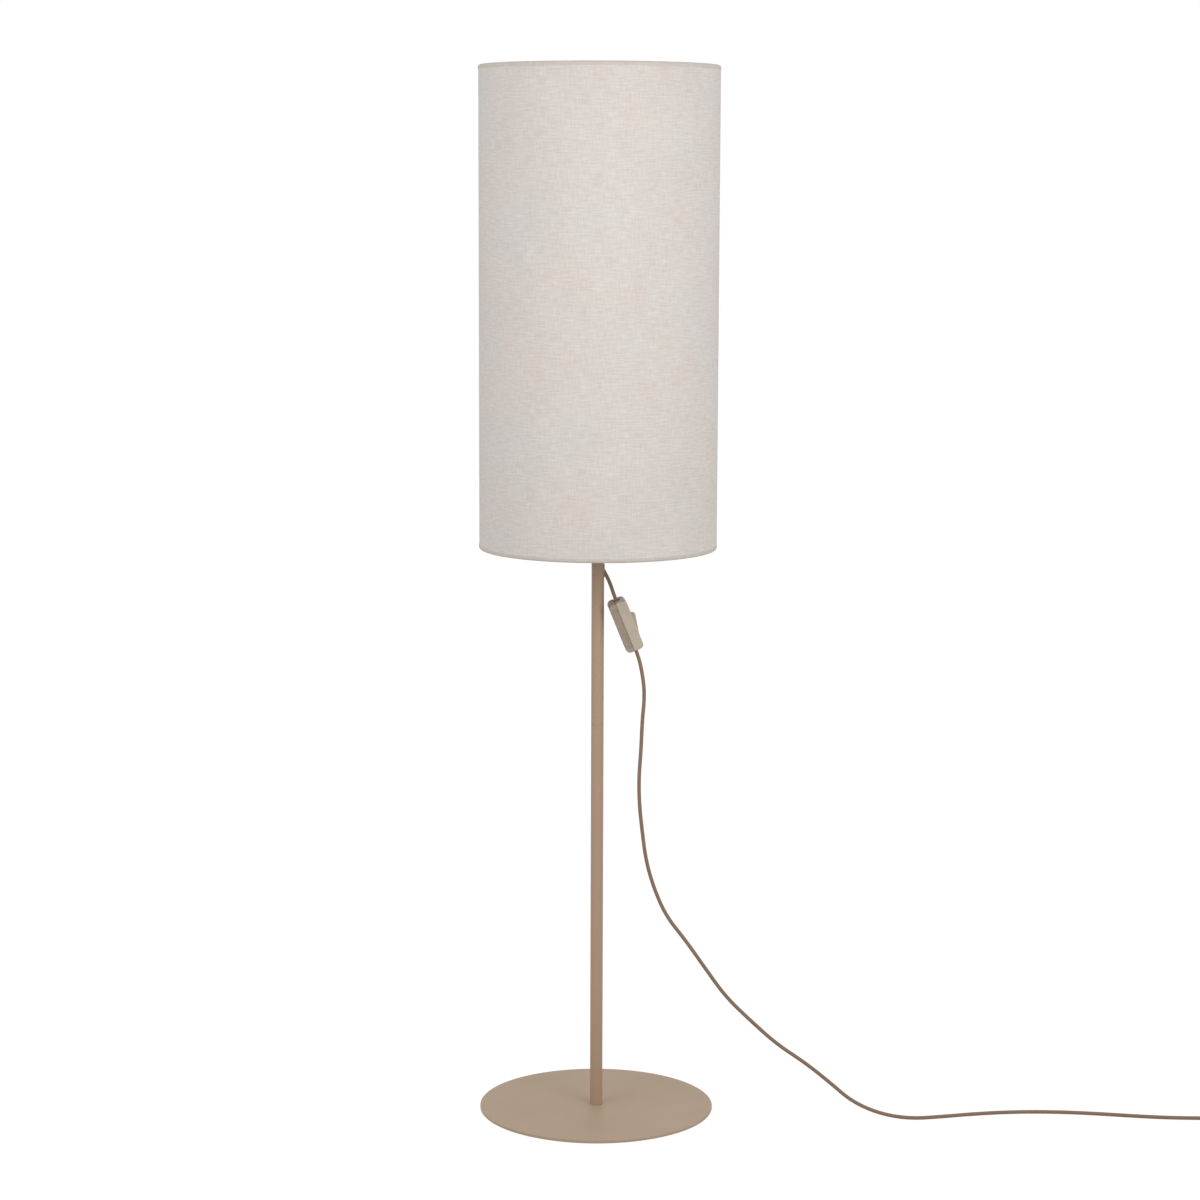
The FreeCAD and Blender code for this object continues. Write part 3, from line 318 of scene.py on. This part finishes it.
tie_finish = moulded_finish("soft_tie", (232, 230, 226), (222, 220, 215), 0.6,
                            grain_per_metre=2500.0)
tie = strap("tie_strap", centre_radius=0.02738, low=0.0009, high=0.0116, half_reach=0.0083,
            azimuth=135.0, width=0.008, thickness=0.0008)
tie.data.materials.append(tie_finish)
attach(tie, "lamp")
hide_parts("cord_tie")


# ---------------------------------------------------------------- plug
# Flat two-pin mains plug, moulded on the cord in the cord's colour, with a ribbed tapered relief,
# nickel-plated round pins and plastic sleeves at their roots.

plug_finish = moulded_finish("plug_plastic", (150, 123, 100), (141, 115, 92), 0.42,
                             grain_per_metre=1400.0)
dress(plug_finish, "plug_body", "plug_strain_relief", "plug_pin_sleeves")


def drawn_metal(name, light, dark, roughness, stretch):
    """Drawn, turned or plated metal: fine lines along one way, cloudy tarnish, bright shader."""
    finish, tree, shader = new_finish(name, roughness, metal=1.0)
    lines = mottle(tree, space(tree, stretch), per_metre=900.0, detail=3.0)
    cloud = mottle(tree, space(tree), per_metre=90.0, detail=3.0)
    varied = spread(tree, lines, roughness - 0.1, roughness + 0.12)
    tree.links.new(between(tree, cloud, 0.3, 0.7, dark, light), shader.inputs["Base Color"])
    tree.links.new(varied, shader.inputs["Roughness"])
    raise_relief(tree, shader, lines, depth=0.00001)
    return finish


nickel = drawn_metal("pin_nickel", (214, 212, 206), (196, 193, 187), 0.22, (1, 0.05, 1))
dress(nickel, "plug_pins")


# ---------------------------------------------------------------- base and pole
# A laser-cut 3.5 mm steel disc and two 16 mm steel tubes, all with the same matt beige powder coat;
# the disc's copy of it is painted a little lighter and greyer, a painted sheen of the light on its
# upward face.  A foam pad is glued under the disc, and a countersunk screw pulls the pole down on it.

def powder_coat(name, light, dark, roughness):
    """Baked powder coat: a low orange-peel relief, finer grains on it, and hardly any colour change."""
    finish, tree, shader = new_finish(name, roughness)
    place = space(tree)
    peel = mottle(tree, place, per_metre=420.0, detail=2.0)
    grain = mottle(tree, place, per_metre=2600.0, detail=2.0)
    cloud = mottle(tree, place, per_metre=14.0, detail=5.0)
    tone = blend(tree, (cloud, 0.7), (grain, 0.3))
    varied = spread(tree, grain, roughness - 0.07, roughness + 0.07)
    tree.links.new(between(tree, tone, 0.35, 0.65, dark, light), shader.inputs["Base Color"])
    tree.links.new(varied, shader.inputs["Roughness"])
    raise_relief(tree, shader, blend(tree, (peel, 1.0), (grain, 0.35)), depth=0.00004)
    return finish


pole_coat = powder_coat("pole_powder_coat", (187, 159, 134), (182, 154, 128), 0.55)
dress(pole_coat, "lower_tube", "upper_tube")
# The disc's coat is a lit copy of the tubes' coat: lighter and greyer, painted light on its upward
# face.
plate_coat_painted_light = powder_coat("plate_powder_coat_painted_light", (189, 165, 140), (184, 160, 134), 0.55)
dress(plate_coat_painted_light, "base_plate")

pad_foam = moulded_finish("pad_foam", (70, 67, 64), (52, 50, 48), 0.9,
                          grain_per_metre=1500.0, grain_depth=0.0002)
dress(pad_foam, "base_pad")

zinc = drawn_metal("zinc_plating", (196, 198, 200), (168, 170, 173), 0.34, (1, 1, 0.08))
dress(zinc, "base_screw", "foot_bush", "lower_joint_bush", "upper_joint_bush", "joint_stud",
      "top_bush", "hollow_nipple")


# ---------------------------------------------------------------- cord exit
# A soft plastic liner keeps the cord off the edge of the slot in the upper tube; behind it the same
# cord runs up the pole to the lampholder.

grommet_finish = moulded_finish("grommet_plastic", (176, 156, 136), (166, 146, 126), 0.5)
dress(grommet_finish, "cord_grommet")
dress(sheath, "inner_cord")


# ---------------------------------------------------------------- lampholder
# White moulded screw lampholder: its cap is screwed on the pole's nipple, its body carries the
# ceramic core with a brass contact, and its ring clamps the shade's fitter.

holder_white = moulded_finish("holder_plastic", (238, 236, 230), (230, 228, 221), 0.3,
                              grain_per_metre=1200.0, grain_depth=0.00001)
dress(holder_white, "holder_cap", "holder_body", "shade_ring")

porcelain = moulded_finish("bare_porcelain", (240, 237, 229), (226, 222, 212), 0.6,
                           grain_per_metre=2600.0)
dress(porcelain, "contact_core")

brass = drawn_metal("contact_brass", (204, 172, 100), (176, 144, 78), 0.3, (1, 1, 0.1))
dress(brass, "centre_contact", "holder_terminal_screws", "switch_terminals", "switch_contacts")


def lead_finish():
    """Insulated cores: brown on one side of the lamp's middle plane, blue on the other."""
    finish, tree, shader = new_finish("core_insulation", 0.45)
    place = space(tree)
    split = tree.nodes.new("ShaderNodeSeparateXYZ")
    tree.links.new(place, split.inputs["Vector"])
    grain = mottle(tree, place, per_metre=1500.0, detail=2.0)
    aside = blend(tree, (split.outputs["X"], 1.0), (grain, 0.0001))
    on_right = arithmetic(tree, "GREATER_THAN", aside, 0.0)
    core_shade = between(tree, on_right, 0.0, 1.0, (58, 92, 158), (112, 70, 44))
    tree.links.new(core_shade, shader.inputs["Base Color"])
    raise_relief(tree, shader, grain, depth=0.00001)
    return finish


dress(lead_finish(), "holder_leads", "switch_leads")


# ---------------------------------------------------------------- shade carrier
# Steel wire of 3.5 mm, spot-welded to a punched fitter plate and to the lower hoop, then coated
# white in one dip; the upper hoop is loose in its trim.

white_coat = powder_coat("white_wire_coat", (238, 236, 231), (230, 227, 221), 0.4)
dress(white_coat, "fitter_plate", "carrier_arms", "bottom_hoop", "top_hoop")


# ---------------------------------------------------------------- shade
# Natural linen bonded to a smooth white plastic lining, rolled into a cylinder of 300 x 600 mm,
# lapped and glued at the back, and edged with folded cloth tape over both hoops.

shade_bottom = 0.730
shade_top = 1.330
linen_radius = 0.1496
lining_radius = 0.1488
edge_drop = 0.00305
seam_azimuth = math.pi / 2
lap_width = 0.012
lap_rise = 0.00035
lap_slope = 0.004


def lap(azimuth, width, rise):
    """How far cloth stands out where it overlaps itself: it rises over a few millimetres on one
    side of the seam and ends in a sharp edge on the other."""
    along = (azimuth - seam_azimuth) * linen_radius + width / 2
    slope = np.clip(along / lap_slope, 0, 1)
    return rise * slope * (along > 0) * (along < width)


def round_piece(name, azimuth, radius, height, girth):
    """A tube about the lamp's axis: a point at each azimuth and each point of the outline, from its
    radius and height.  Unrolled, it is as long as the linen's round and as wide as its girth."""
    grid = np.stack((radius * np.cos(azimuth)[:, None], radius * np.sin(azimuth)[:, None],
                     np.broadcast_to(height, radius.shape)), axis=2)
    arc = np.linspace(0, 2 * math.pi * linen_radius, len(azimuth) + 1)
    return grid_piece(name, grid, (arc, girth))


def shade_wall():
    """A tube with an outer linen and an inner lining face: azimuth by outline, where the outline
    goes up outside and down inside, and the outer radius swells by the lap and by a slow waver."""
    azimuth = np.linspace(0, 2 * math.pi, 900, endpoint=False)
    low, high = shade_bottom + edge_drop, shade_top - edge_drop
    under_tape, past_tape = 0.003, 0.0035
    heights = np.concatenate(((low, low + under_tape),
                              np.linspace(low + past_tape, high - past_tape, 15),
                              (high - under_tape, high)))
    clear_of_tape = np.ones(len(heights))
    clear_of_tape[[0, 1, -2, -1]] = 0
    waver = 0.00008 * np.sin(3 * azimuth + 1) + 0.00005 * np.sin(7 * azimuth)
    outer = linen_radius + np.outer(lap(azimuth, lap_width, lap_rise) + waver, clear_of_tape)
    inner = np.full_like(outer, lining_radius)
    up_and_down = np.concatenate((heights, heights[::-1]))
    return round_piece("shade_linen", azimuth, np.hstack((outer, inner)), up_and_down,
                       np.append(up_and_down, low))


def thread_run(tree, place, pitch, across):
    """Raised threads side by side: one crest per pitch, wandering a little, across u or v.  The wave
    pattern itself goes through 20 radians in each unit of its scale."""
    wave = tree.nodes.new("ShaderNodeTexWave")
    wave.wave_type = "BANDS"
    wave.bands_direction = across
    wave.wave_profile = "SIN"
    radians_per_unit = 20
    wave.inputs["Scale"].default_value = 1 / pitch / radians_per_unit * 2 * math.pi
    wave.inputs["Distortion"].default_value = 1.2
    wave.inputs["Detail"].default_value = 1.0
    wave.inputs["Detail Scale"].default_value = 1.5
    tree.links.new(place, wave.inputs["Vector"])
    return wave.outputs["Fac"]


def linen_weave():
    """Plain linen: warp and weft threads, slubs drawn out along both, a flecked natural tone."""
    finish, tree, shader = new_finish("natural_linen", 0.85)
    shader.inputs["Sheen Weight"].default_value = 0.15
    shader.inputs["Sheen Roughness"].default_value = 0.5
    place = space(tree, unrolled=True)
    warp = thread_run(tree, place, pitch=0.00075, across="X")
    weft = thread_run(tree, place, pitch=0.00080, across="Y")
    along_warp = space(tree, (1, 0.12, 1), unrolled=True)
    along_weft = space(tree, (0.12, 1, 1), unrolled=True)
    warp_slub = mottle(tree, along_warp, per_metre=560.0, detail=2.0)
    weft_slub = mottle(tree, along_weft, per_metre=480.0, detail=2.0)
    broad = mottle(tree, place, per_metre=18.0, detail=4.0)
    fleck = mottle(tree, place, per_metre=900.0, detail=2.0)
    threads = arithmetic(tree, "MAXIMUM", warp, weft)
    slubs = blend(tree, (warp_slub, 0.42), (weft_slub, 0.58))
    tone = blend(tree, (slubs, 0.62), (broad, 0.09), (fleck, 0.17), (threads, 0.12))
    natural = between(tree, tone, 0.36, 0.68, (214, 207, 202), (243, 238, 234))
    cloud = mottle(tree, place, per_metre=11.0, detail=2.0)
    patches = between(tree, cloud, 0.35, 0.65, (255, 251, 248), (253, 254, 252))
    flax = tree.nodes.new("ShaderNodeMix")
    flax.data_type = "RGBA"
    flax.blend_type = "MULTIPLY"
    flax.inputs["Factor"].default_value = 1.0
    first_colour, second_colour, product = flax.inputs[6], flax.inputs[7], flax.outputs[2]
    tree.links.new(natural, first_colour)
    tree.links.new(patches, second_colour)
    tree.links.new(product, shader.inputs["Base Color"])
    height = blend(tree, (threads, 1.0), (slubs, 0.9))
    raise_relief(tree, shader, height, depth=0.00018, strength=0.8)
    return finish


def lining_film():
    """Smooth white plastic lining with a faint embossed grain."""
    finish, tree, shader = new_finish("lining_film", 0.38)
    place = space(tree, unrolled=True)
    grain = mottle(tree, place, per_metre=700.0, detail=3.0)
    cloud = mottle(tree, place, per_metre=9.0, detail=3.0)
    white = between(tree, cloud, 0.3, 0.7, (238, 236, 231), (246, 245, 241))
    tree.links.new(white, shader.inputs["Base Color"])
    raise_relief(tree, shader, grain, depth=0.00004)
    return finish


shade = shade_wall()
shade.data.materials.append(linen_weave())
shade.data.materials.append(lining_film())
centres = np.zeros(len(shade.data.polygons) * 3)
shade.data.polygons.foreach_get("center", centres)
is_lining = np.hypot(centres[0::3], centres[1::3]) < (linen_radius + lining_radius) / 2
shade.data.polygons.foreach_set("material_index", is_lining.astype(int))
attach(shade, "lamp")
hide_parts("shade_skin")


# Each edge has a woven tape folded over hoop and cloth, its outer leg narrower than its inner one.
tape = 0.0004
tape_lap_width = 0.009
tape_lap_rise = 0.0003
fold_centre_radius = 0.14695
fold_radius = 0.00305
outer_leg = 0.0055
inner_leg = 0.0085
arm_azimuths = np.radians((90.0, 210.0, 330.0))
arm_radius = 0.14465
arm_swell = 0.0017
arm_swell_reach = 0.0032
arm_swell_start = 0.004


def folded_tape(name, edge, inward, over_arms):
    """Tape round an edge: azimuth by outline.  The outline is a long half circle with two straight
    legs, followed outside and back inside one tape thickness apart.  The inner leg swells over each
    carrier arm, and the whole tape stands out where its end laps over its start."""
    azimuth = np.linspace(0, 2 * math.pi, 720, endpoint=False)
    turn = np.linspace(0, math.pi, 15)
    centre = edge + inward * fold_radius

    def leg_and_fold(radius, end_outside, end_inside):
        outer_up = (end_outside, (end_outside + centre) / 2)
        inner_up = np.linspace(centre, end_inside, 5)[1:]
        out = np.concatenate((np.full(len(outer_up), fold_centre_radius + radius),
                              fold_centre_radius + radius * np.cos(turn),
                              np.full(len(inner_up), fold_centre_radius - radius)))
        fold_up = centre - inward * radius * np.sin(turn)
        return out, np.concatenate((outer_up, fold_up, inner_up))

    outside = edge + inward * outer_leg
    inside = edge + inward * inner_leg
    hair = inward * 0.00012
    face_out, face_up = leg_and_fold(fold_radius, outside - hair, inside - hair)
    back_out, back_up = leg_and_fold(fold_radius - tape, outside, inside)
    out = np.concatenate((face_out, back_out[::-1]))
    up = np.concatenate((face_up, back_up[::-1]))
    points = len(face_out)
    is_face = np.repeat((1.0, 0.0), points)
    is_end = np.zeros(2 * points)
    is_end[[0, points - 1, points, -1]] = 1

    on_a_leg = np.abs(out - fold_centre_radius) > fold_radius * 0.6
    away = np.sign(out - fold_centre_radius) * is_face * on_a_leg
    radius = out + np.outer(lap(azimuth, tape_lap_width, tape_lap_rise), away)
    if over_arms:
        turned = (azimuth[:, None] - arm_azimuths + math.pi) % (2 * math.pi) - math.pi
        from_arm = np.min(np.abs(turned), axis=1) * arm_radius
        swell = np.exp(-(from_arm / arm_swell_reach) ** 4) * arm_swell
        on_inner_leg = out < fold_centre_radius - fold_radius / 2
        radius = radius - np.outer(
            swell, on_inner_leg * np.clip(np.abs(up - edge) / arm_swell_start, 0, 1))
    waver = 0.00006 * np.sin(23 * azimuth) + 0.00004 * np.sin(57 * azimuth + 2)
    height = up + np.outer(waver, is_end)
    girth = np.concatenate(((0,), np.cumsum(np.hypot(np.diff(out), np.diff(up)))))
    return round_piece(name, azimuth, radius, height, np.append(girth, girth[-1] + tape))


def tape_weave():
    """Narrow woven cotton tape: fine cross ribs, slightly darker and greyer than the linen."""
    finish, tree, shader = new_finish("edge_tape", 0.9)
    shader.inputs["Sheen Weight"].default_value = 0.1
    place = space(tree, unrolled=True)
    ribs = thread_run(tree, place, pitch=0.00055, across="X")
    picks = thread_run(tree, place, pitch=0.00050, across="Y")
    cloud = mottle(tree, place, per_metre=160.0, detail=4.0)
    tone = blend(tree, (cloud, 0.7), (ribs, 0.3))
    cotton = between(tree, tone, 0.3, 0.8, (212, 202, 193), (230, 220, 211))
    tree.links.new(cotton, shader.inputs["Base Color"])
    height = blend(tree, (ribs, 1.0), (picks, 0.5))
    raise_relief(tree, shader, height, depth=0.00012, strength=0.8)
    return finish


tape_finish = tape_weave()
for name, edge, inward in (("top_tape", shade_top, -1), ("bottom_tape", shade_bottom, 1)):
    trim = folded_tape(name, edge, inward, over_arms=inward > 0)
    trim.data.materials.append(tape_finish)
    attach(trim, "lamp")
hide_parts("top_trim")
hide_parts("bottom_trim")


# ---------------------------------------------------------------- bulb
# Opal lamp bulb with a 27 mm screw cap: aluminium cap with a glassy black insulator and a soldered
# tip, white housing and a matt opal dome.

aluminium = drawn_metal("cap_aluminium", (205, 205, 205), (184, 184, 185), 0.32, (1, 1, 0.1))
dress(aluminium, "bulb_cap")
solder = drawn_metal("tip_solder", (176, 174, 168), (150, 148, 142), 0.42, (1, 1, 1))
dress(solder, "bulb_tip")
black_glass = moulded_finish("insulator_glass", (34, 33, 36), (24, 24, 26), 0.15,
                             grain_per_metre=500.0)
dress(black_glass, "bulb_insulator")
housing_white = moulded_finish("bulb_housing_plastic", (240, 239, 236), (234, 233, 229), 0.4)
dress(housing_white, "bulb_housing")
opal = moulded_finish("opal_dome", (246, 245, 240), (242, 241, 236), 0.28,
                      grain_per_metre=600.0, grain_depth=0.00001)
dress(opal, "bulb_dome")


# ---------------------------------------------------------------- switch
# In-line rocker switch: two moulded shells screwed together from the back, with the rocker on stub
# pins in the front one, and terminals, contacts and cord clamps inside.  The ribbed back shell has a
# darker copy of the same plastic: painted shade of its ribbed side.

switch_finish = moulded_finish("switch_plastic", (206, 190, 173), (199, 183, 166), 0.45,
                               grain_per_metre=2200.0, grain_depth=0.00005)
dress(switch_finish, "switch_front_shell", "switch_rocker")
# Its darker tone is painted shade of the ribbed side; the rougher, deeper grain is its real matt
# texture.
grip_texture_and_painted_shade = moulded_finish("switch_grip_painted_shade", (180, 165, 149), (170, 155, 139), 0.6,
                             grain_per_metre=1500.0, grain_depth=0.00008)
dress(grip_texture_and_painted_shade, "switch_back_shell")
dress(zinc, "switch_terminal_screws", "switch_clamp_screws", "switch_shell_screws")
clamp_finish = moulded_finish("clamp_plastic", (226, 222, 212), (216, 212, 202), 0.5)
dress(clamp_finish, "switch_cord_clamps")


# ---------------------------------------------------------------- floor, light and background
# White studio: an even white surround, a pale floor that shows only a faint shadow, and two soft
# lamps in front, right and left of the lamp at the height of its shade.

reach = 8.0
floor_height = -0.0002
floor_mesh = bpy.data.meshes.new("studio_floor")
floor_mesh.from_pydata([(-reach, -reach, floor_height), (reach, -reach, floor_height),
                        (reach, reach, floor_height), (-reach, reach, floor_height)],
                       [], [(0, 1, 2, 3)])
floor = bpy.data.objects.new("studio_floor", floor_mesh)
bpy.context.scene.collection.objects.link(floor)


def seen_directly(tree):
    """1 where the viewer, a reflection or clear glass looks straight at the surface, else 0."""
    light_path = tree.nodes.new("ShaderNodeLightPath")
    return arithmetic(tree, "MAXIMUM", light_path.outputs["Is Camera Ray"],
                      arithmetic(tree, "MAXIMUM", light_path.outputs["Is Glossy Ray"],
                                 light_path.outputs["Is Transmission Ray"]))


def choose(tree, share, first, second):
    """Mix of two shaders, all first at a share of 0 and all second at 1."""
    mix = tree.nodes.new("ShaderNodeMixShader")
    if isinstance(share, float):
        mix.inputs["Fac"].default_value = share
    else:
        tree.links.new(share, mix.inputs["Fac"])
    tree.links.new(first, mix.inputs[1])
    tree.links.new(second, mix.inputs[2])
    return mix.outputs[0]


def pale_floor():
    """Floor that looks white with a faint shadow, and sends a moderate light back up."""
    finish = bpy.data.materials.new("pale_floor")
    finish.use_nodes = True
    tree = finish.node_tree
    tree.nodes.clear()
    white = tree.nodes.new("ShaderNodeEmission")
    white.inputs["Strength"].default_value = 1.10
    shadowed = tree.nodes.new("ShaderNodeBsdfDiffuse")
    shadowed.inputs["Color"].default_value = (1, 1, 1, 1)
    bounce = tree.nodes.new("ShaderNodeBsdfDiffuse")
    bounce.inputs["Color"].default_value = (0.72, 0.705, 0.69, 1)
    shadow_share = 0.14
    look = choose(tree, shadow_share, white.outputs[0], shadowed.outputs[0])
    output = tree.nodes.new("ShaderNodeOutputMaterial")
    tree.links.new(choose(tree, seen_directly(tree), bounce.outputs[0], look),
                   output.inputs["Surface"])
    return finish


floor_mesh.materials.append(pale_floor())

world = bpy.data.worlds.new("studio")
world.use_nodes = True
bpy.context.scene.world = world
sky = world.node_tree
sky.nodes.clear()
soft_light = sky.nodes.new("ShaderNodeBackground")
soft_light.inputs["Color"].default_value = (1, 1, 1, 1)
soft_light.inputs["Strength"].default_value = 0.54
backdrop = sky.nodes.new("ShaderNodeBackground")
backdrop.inputs["Color"].default_value = (1, 1, 1, 1)
backdrop.inputs["Strength"].default_value = 1.0
sky_output = sky.nodes.new("ShaderNodeOutputWorld")
sky.links.new(choose(sky, seen_directly(sky), soft_light.outputs[0], backdrop.outputs[0]),
              sky_output.inputs["Surface"])


def soft_lamp(name, place, target, size, power):
    """A square area lamp aimed at a point."""
    data = bpy.data.lights.new(name, "AREA")
    data.size = size
    data.energy = power
    lamp = bpy.data.objects.new(name, data)
    lamp.location = place
    lamp.rotation_euler = (Vector(target) - Vector(place)).to_track_quat("-Z", "Y").to_euler()
    bpy.context.scene.collection.objects.link(lamp)


for name, side, power in (("right", 1, 6.6), ("left", -1, 5.1)):
    soft_lamp(name, place=(side * 0.88, -0.98, 1.25), target=(0, 0, 1.2), size=0.8, power=power)

bpy.context.scene.view_settings.view_transform = "Standard"
